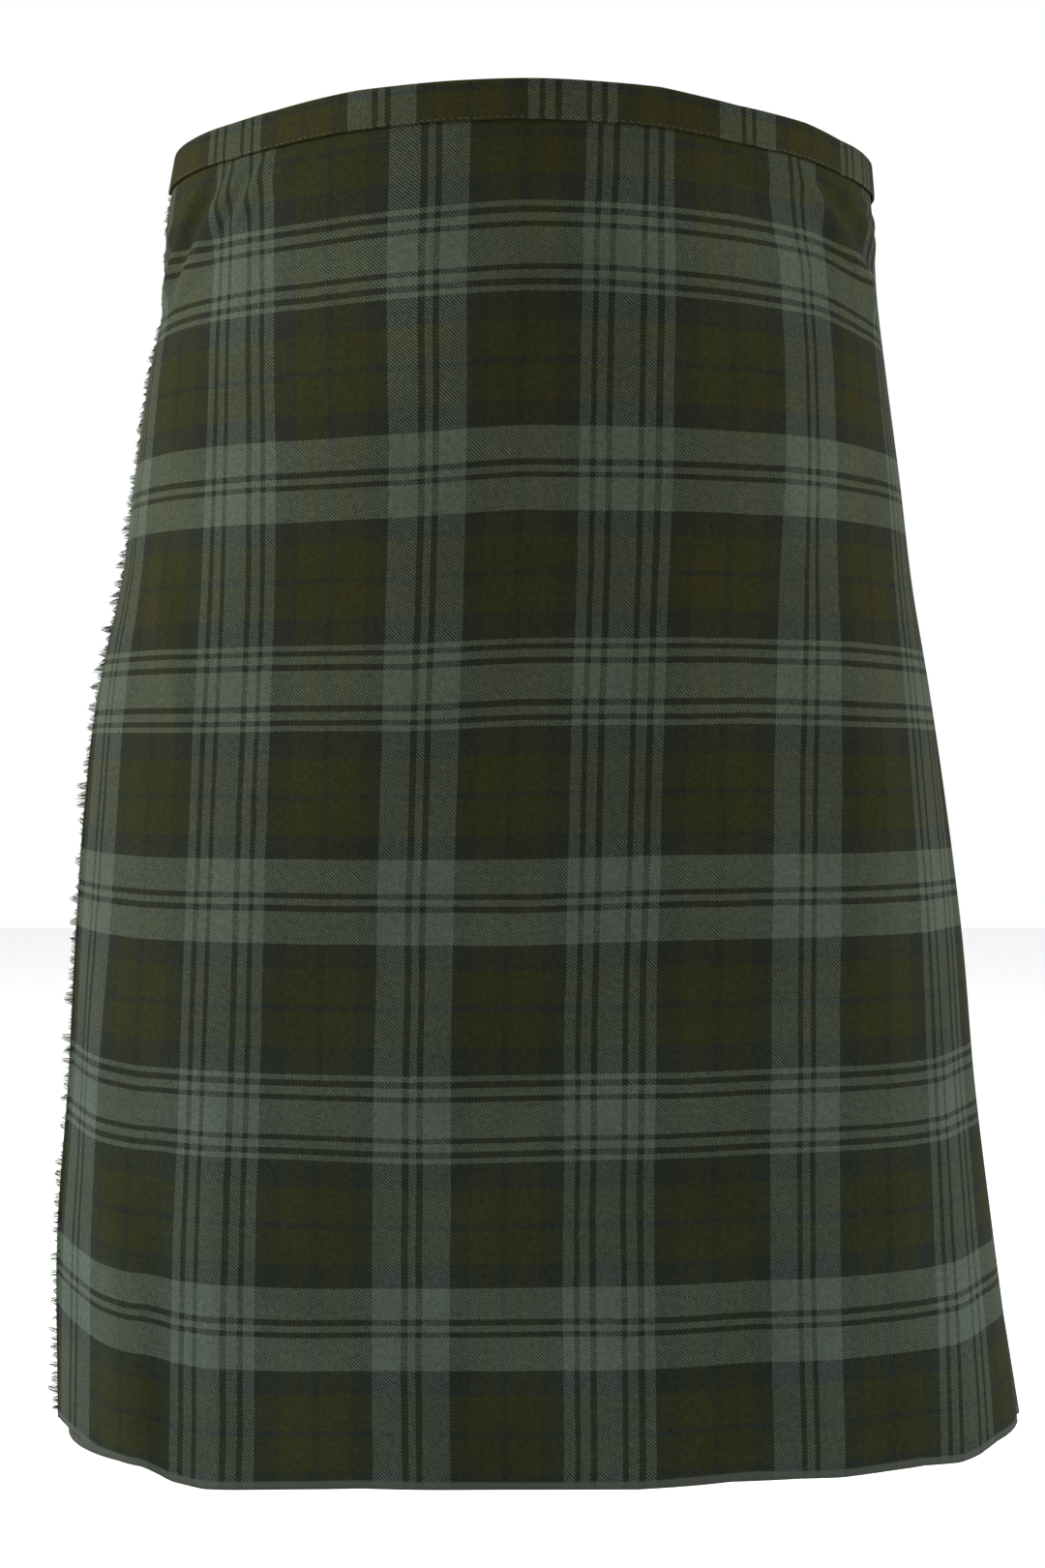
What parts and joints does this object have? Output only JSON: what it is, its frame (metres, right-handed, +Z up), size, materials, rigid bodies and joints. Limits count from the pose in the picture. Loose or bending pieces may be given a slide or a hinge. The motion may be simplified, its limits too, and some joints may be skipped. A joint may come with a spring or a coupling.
{
  "type": "kilt",
  "caption": "Casual kilt of brushed tartan twill, filled out as worn: flat front apron with a frayed edge, knife-pleated back, narrow waistband, and a leather strap and buckle at each hip.",
  "frame": {"origin": "centre of the waist, halfway up the waistband, where the wearer holds the kilt up", "axes": "+Z up out of the waist, -Y the front with the over apron, +X the wearer's left"},
  "size_m": [0.4685, 0.283, 0.6149],
  "materials": {
    "tartan": "brushed twill",
    "fringe": "frayed yarn",
    "leather": "smooth, edge-dyed",
    "metal": "satin"
  },
  "bodies": {
    "root": {"over_apron": "tartan", "apron_fringe": "fringe", "under_apron": "tartan", "back_pleats_left": "tartan", "back_pleats_centre": "tartan", "back_pleats_right": "tartan", "waistband": "tartan", "strap_right": "leather", "strap_left": "leather", "buckle_tab_right": "leather", "buckle_tab_left": "leather", "buckle_right": "metal", "buckle_left": "metal", "prong_right": "metal", "prong_left": "metal"}
  },
  "joints": []
}
